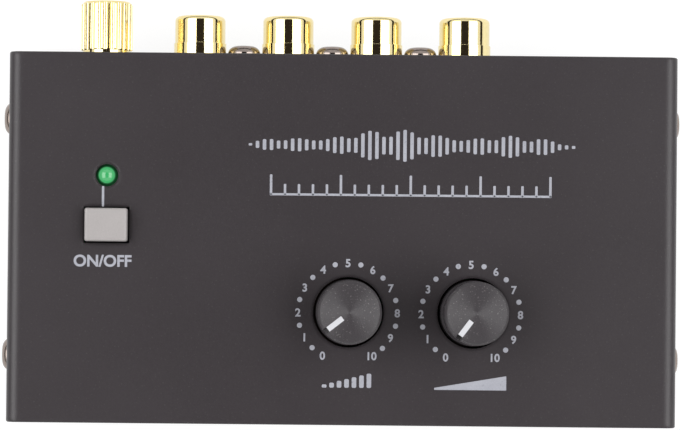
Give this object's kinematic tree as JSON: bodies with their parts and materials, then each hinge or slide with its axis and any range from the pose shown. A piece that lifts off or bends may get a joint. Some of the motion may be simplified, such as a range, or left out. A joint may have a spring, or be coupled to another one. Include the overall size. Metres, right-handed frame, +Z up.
{
  "type": "phono preamp",
  "caption": "Small phono preamp: folded steel case with two dials, a latching power button and a lamp, phono sockets, a ground post and a power inlet at the rear.",
  "frame": {"origin": "on the surface that the feet stand on, under the middle of the whole object", "axes": "+X to the right of the dials, +Y towards the rear sockets, +Z up"},
  "size_m": [0.1114, 0.0688, 0.042],
  "materials": {
    "case_paint": "fine satin dark grey powder coat",
    "zinc_steel": "bright zinc plated",
    "gold_plate": "polished gold plate",
    "foot_rubber": "matt black rubber",
    "knob_plastic": "dark grey satin plastic",
    "pointer_white": "white insert",
    "cap_plastic": "light grey satin plastic",
    "black_plastic": "black moulded plastic",
    "white_plastic": "white insulator",
    "red_plastic": "red insulator",
    "lamp_green": "clear green epoxy",
    "board_green": "green solder mask",
    "tinned_copper": "tinned wire",
    "shaft_steel": "turned steel",
    "bushing_alloy": "die cast alloy",
    "phenolic": "brown phenolic",
    "can_sleeve": "dark sleeve over aluminium",
    "film_red": "dipped film capacitor",
    "resistor_blue": "blue lacquer",
    "brass_plain": "plain turned brass"
  },
  "bodies": {
    "case": {"board_screws": "zinc_steel", "board_spacers": "brass_plain", "chassis": "case_paint", "circuit_board": "board_green", "component_leads": "tinned_copper", "cover": "case_paint", "cover_screws": "zinc_steel", "dc_jack_contacts": "tinned_copper", "dc_jack_housing": "black_plastic", "dc_jack_pin": "tinned_copper", "electrolytic_capacitors": "can_sleeve", "film_capacitors": "film_red", "ground_bushes": "black_plastic", "ground_lock_nut": "gold_plate", "ground_stud": "gold_plate", "ground_tag": "tinned_copper", "jack_contacts": "tinned_copper", "jack_housing": "black_plastic", "jack_inserts_left": "white_plastic", "jack_inserts_right": "red_plastic", "jack_screws": "zinc_steel", "jack_shells": "gold_plate", "led_leads": "tinned_copper", "led_lens": "lamp_green", "led_spacer": "black_plastic", "level_bushing": "bushing_alloy", "level_pot_body": "phenolic", "level_pot_frame": "zinc_steel", "level_terminals": "tinned_copper", "op_amp_chips": "black_plastic", "op_amp_legs": "tinned_copper", "power_switch_body": "black_plastic", "power_switch_terminals": "tinned_copper", "rectifier_diode": "black_plastic", "resistors": "resistor_blue", "rubber_feet": "foot_rubber", "spacer_screws": "zinc_steel", "volume_bushing": "bushing_alloy", "volume_pot_body": "phenolic", "volume_pot_frame": "zinc_steel", "volume_terminals": "tinned_copper"},
    "level_control": {"level_knob": "knob_plastic", "level_pointer": "pointer_white", "level_shaft": "shaft_steel", "level_wiper": "black_plastic"},
    "volume_control": {"volume_knob": "knob_plastic", "volume_pointer": "pointer_white", "volume_shaft": "shaft_steel", "volume_wiper": "black_plastic"},
    "power_button": {"power_button_cap": "cap_plastic", "power_switch_plunger": "black_plastic", "power_switch_spring": "shaft_steel"},
    "ground_clamp": {"ground_washer": "gold_plate"},
    "ground_knob": {"ground_nut": "gold_plate"}
  },
  "joints": [
    {"name": "level_turn", "type": "hinge", "parent": "case", "child": "level_control", "pos_m": [0.0011, -0.0162, 0.03], "axis": [0, 0, -1], "range_deg": [-21.9, 278.1]},
    {"name": "volume_turn", "type": "hinge", "parent": "case", "child": "volume_control", "pos_m": [0.0211, -0.0162, 0.03], "axis": [0, 0, -1], "range_deg": [-6.9, 293.1]},
    {"name": "power_press", "type": "slide", "parent": "case", "child": "power_button", "axis": [0, 0, -1], "range_m": [-0.0017, 0.0006], "deforming": ["power_switch_spring"]},
    {"name": "ground_clamp_travel", "type": "slide", "parent": "case", "child": "ground_clamp", "axis": [0, 1, 0], "range_m": [0, 0.0035]},
    {"name": "ground_nut_turn", "type": "hinge", "parent": "ground_clamp", "child": "ground_knob", "pos_m": [-0.0389, 0.03, 0.019], "axis": [0, 1, 0], "range_deg": [0, 1800]}
  ],
  "couplings": [
    {"joint": "ground_nut_turn", "follows": "ground_clamp_travel", "rad_per_m": 8975.9}
  ]
}
